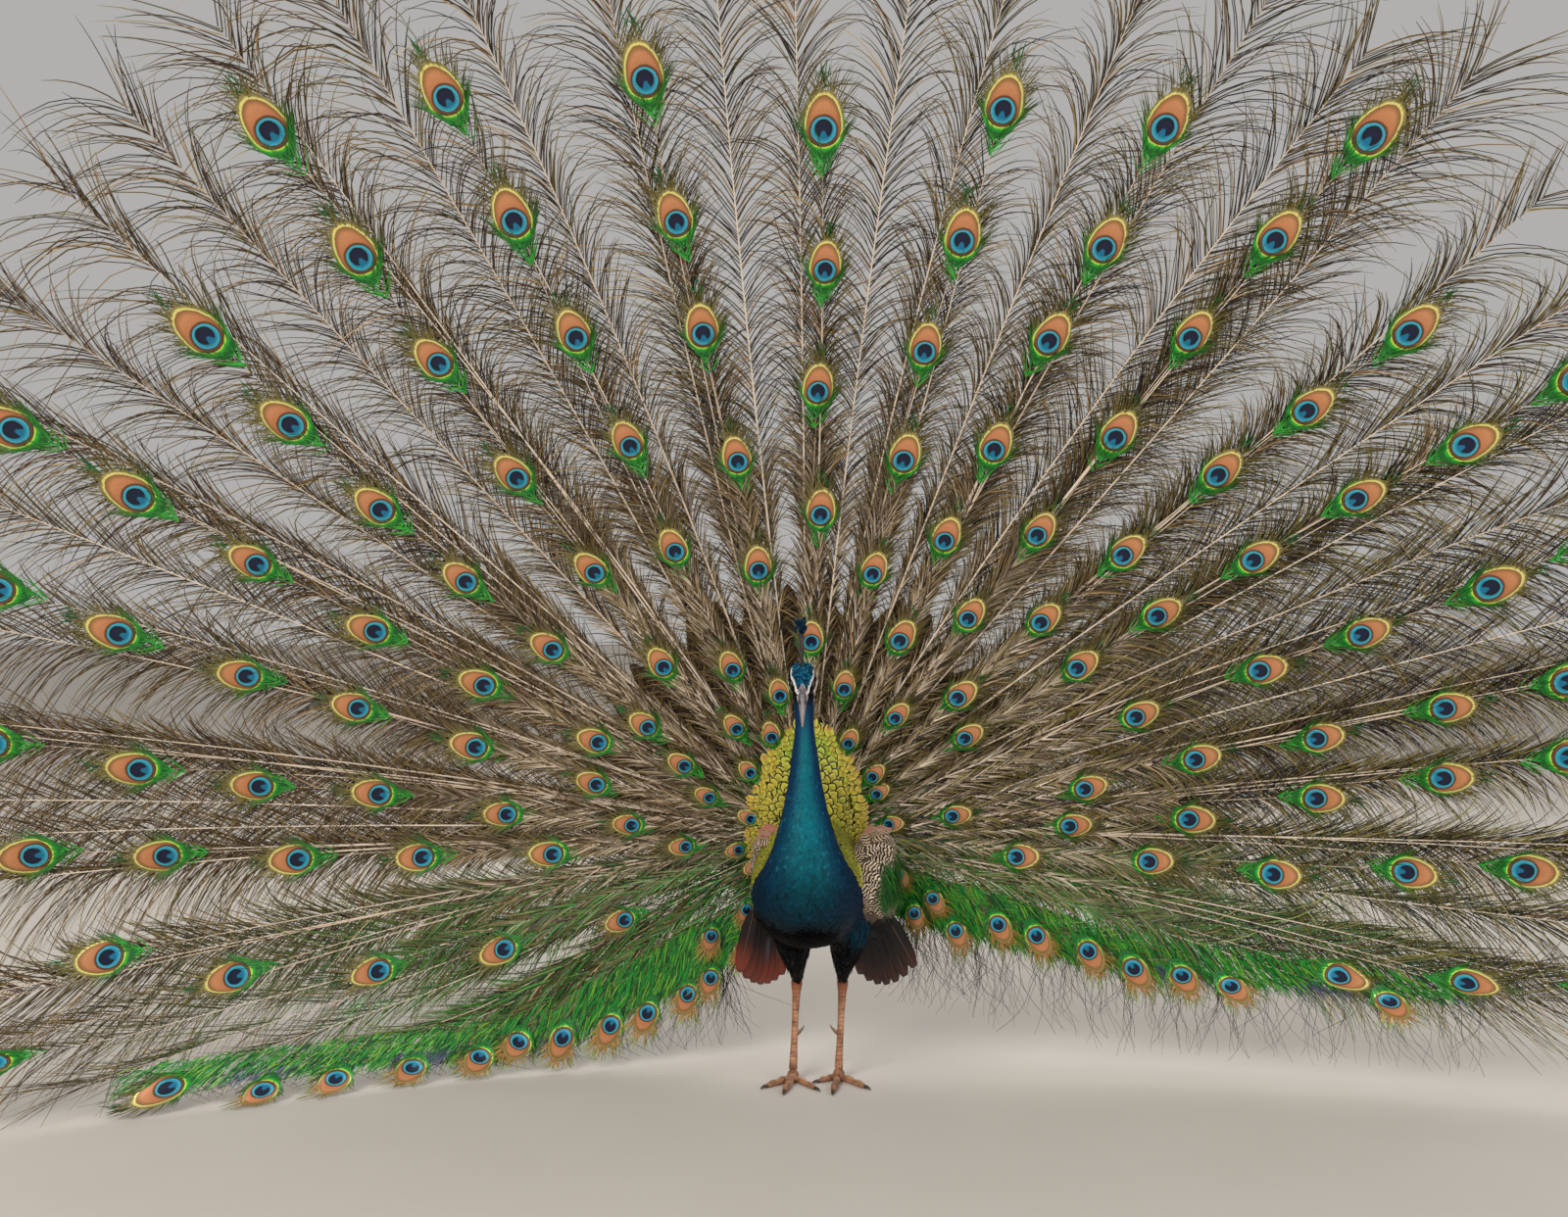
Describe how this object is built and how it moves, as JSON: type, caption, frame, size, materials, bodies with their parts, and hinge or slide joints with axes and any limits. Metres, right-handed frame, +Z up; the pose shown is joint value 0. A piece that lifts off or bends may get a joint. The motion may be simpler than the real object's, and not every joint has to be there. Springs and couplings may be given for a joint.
{
  "type": "peacock",
  "caption": "Male Indian peafowl standing with its train raised in a full fan of eyed feathers.",
  "frame": {"origin": "on the floor under the middle of the bird's bounding box, fan included", "axes": "+Z up, the bird faces -Y, +X is the bird's left; the fan is widest along X"},
  "size_m": [2.97, 0.6639, 1.7556],
  "materials": {
    "bill_horn": "grey horn, pinkish towards the tip",
    "blue_plumage": "blue-teal iridescent body feathers",
    "claw_horn": "dark horn",
    "crest_plumage": "dark blue racket-tipped crest quills",
    "dark_down": "black-brown downy feathers",
    "eye_gloss": "glossy dark brown",
    "gold_scales": "golden green scale feathers with dark rims",
    "leg_scales": "coppery brown leg scales",
    "tail_brown": "dull brown stiff tail feathers",
    "train_bronze": "loose bronze and olive barbs with eyespots",
    "train_green": "emerald lower train feathers",
    "wing_barred": "cream and black barred wing feathers",
    "wing_chestnut": "chestnut flight feathers"
  },
  "bodies": {
    "root": {"back": "gold_scales", "bill_lower": "bill_horn", "bill_upper": "bill_horn", "claw_hind_left": "claw_horn", "claw_hind_right": "claw_horn", "claw_inner_left": "claw_horn", "claw_inner_right": "claw_horn", "claw_middle_left": "claw_horn", "claw_middle_right": "claw_horn", "claw_outer_left": "claw_horn", "claw_outer_right": "claw_horn", "crest": "crest_plumage", "eye_left": "eye_gloss", "eye_right": "eye_gloss", "foot_left": "leg_scales", "foot_right": "leg_scales", "head": "blue_plumage", "neck_lower": "blue_plumage", "neck_upper": "blue_plumage", "primaries_left": "wing_chestnut", "primaries_right": "wing_chestnut", "spur_left": "claw_horn", "spur_right": "claw_horn", "tail_1": "tail_brown", "tail_2": "tail_brown", "tail_3": "tail_brown", "tail_root": "tail_brown", "tarsus_left": "leg_scales", "tarsus_right": "leg_scales", "thigh_left": "dark_down", "thigh_right": "dark_down", "train_01": "train_bronze", "train_02": "train_bronze", "train_03": "train_bronze", "train_04": "train_bronze", "train_05": "train_bronze", "train_06": "train_bronze", "train_07": "train_bronze", "train_08": "train_bronze", "train_09": "train_bronze", "train_10": "train_bronze", "train_11": "train_bronze", "train_12": "train_bronze", "train_13": "train_bronze", "train_14": "train_bronze", "train_15": "train_bronze", "train_16": "train_bronze", "train_skirt_left": "train_green", "train_skirt_right": "train_green", "trunk": "blue_plumage", "vent": "dark_down", "wing_left": "wing_barred", "wing_right": "wing_barred"}
  },
  "joints": []
}
